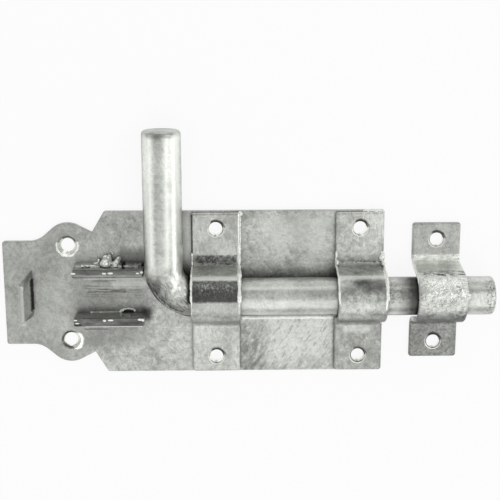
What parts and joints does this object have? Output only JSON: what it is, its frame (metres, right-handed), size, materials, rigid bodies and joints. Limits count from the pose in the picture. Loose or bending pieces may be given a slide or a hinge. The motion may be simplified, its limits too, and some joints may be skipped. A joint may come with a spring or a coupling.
{
  "type": "slide bolt",
  "caption": "Heavy galvanised barrel bolt on a flat base plate, with a bent round bar as bolt and handle, two hat-shaped keepers, padlock lugs and a separate catch.",
  "frame": {"origin": "on the base plate's back face, at the plate's mid-length, under the bolt's axis", "axes": "+Z out of the plate's back towards the bolt, +X along the bolt towards its tip and the catch, +Y towards the side where the handle lies"},
  "size_m": [0.2557, 0.1305, 0.0276],
  "materials": {
    "galvanised_plate": "hot-dip galvanised flat steel, satin grey with pale and dark streaks",
    "galvanised_strap": "hot-dip galvanised bent strap, satin with bright rounded edges",
    "galvanised_bar": "hot-dip galvanised round bar, smoother and brighter",
    "zinc_weld": "zinc-coated weld bead, lumpy and bright"
  },
  "bodies": {
    "base": {"base_plate": "galvanised_plate", "rear_keeper": "galvanised_strap", "front_keeper": "galvanised_strap", "upper_lug": "galvanised_plate", "lower_lug": "galvanised_plate", "upper_lug_weld": "zinc_weld", "lower_lug_weld": "zinc_weld", "rear_keeper_weld": "zinc_weld", "front_keeper_weld": "zinc_weld"},
    "bolt": {"bolt": "galvanised_bar"},
    "catch": {"catch": "galvanised_strap"}
  },
  "joints": [
    {"name": "bolt_turn", "type": "hinge", "parent": "base", "child": "bolt", "pos_m": [0, 0, 0.0136], "axis": [1, 0, 0], "range_deg": [0, 180]},
    {"name": "catch_slide", "type": "slide", "parent": "base", "child": "catch", "axis": [1, 0, 0], "range_m": [-0.012, 0.045]}
  ]
}
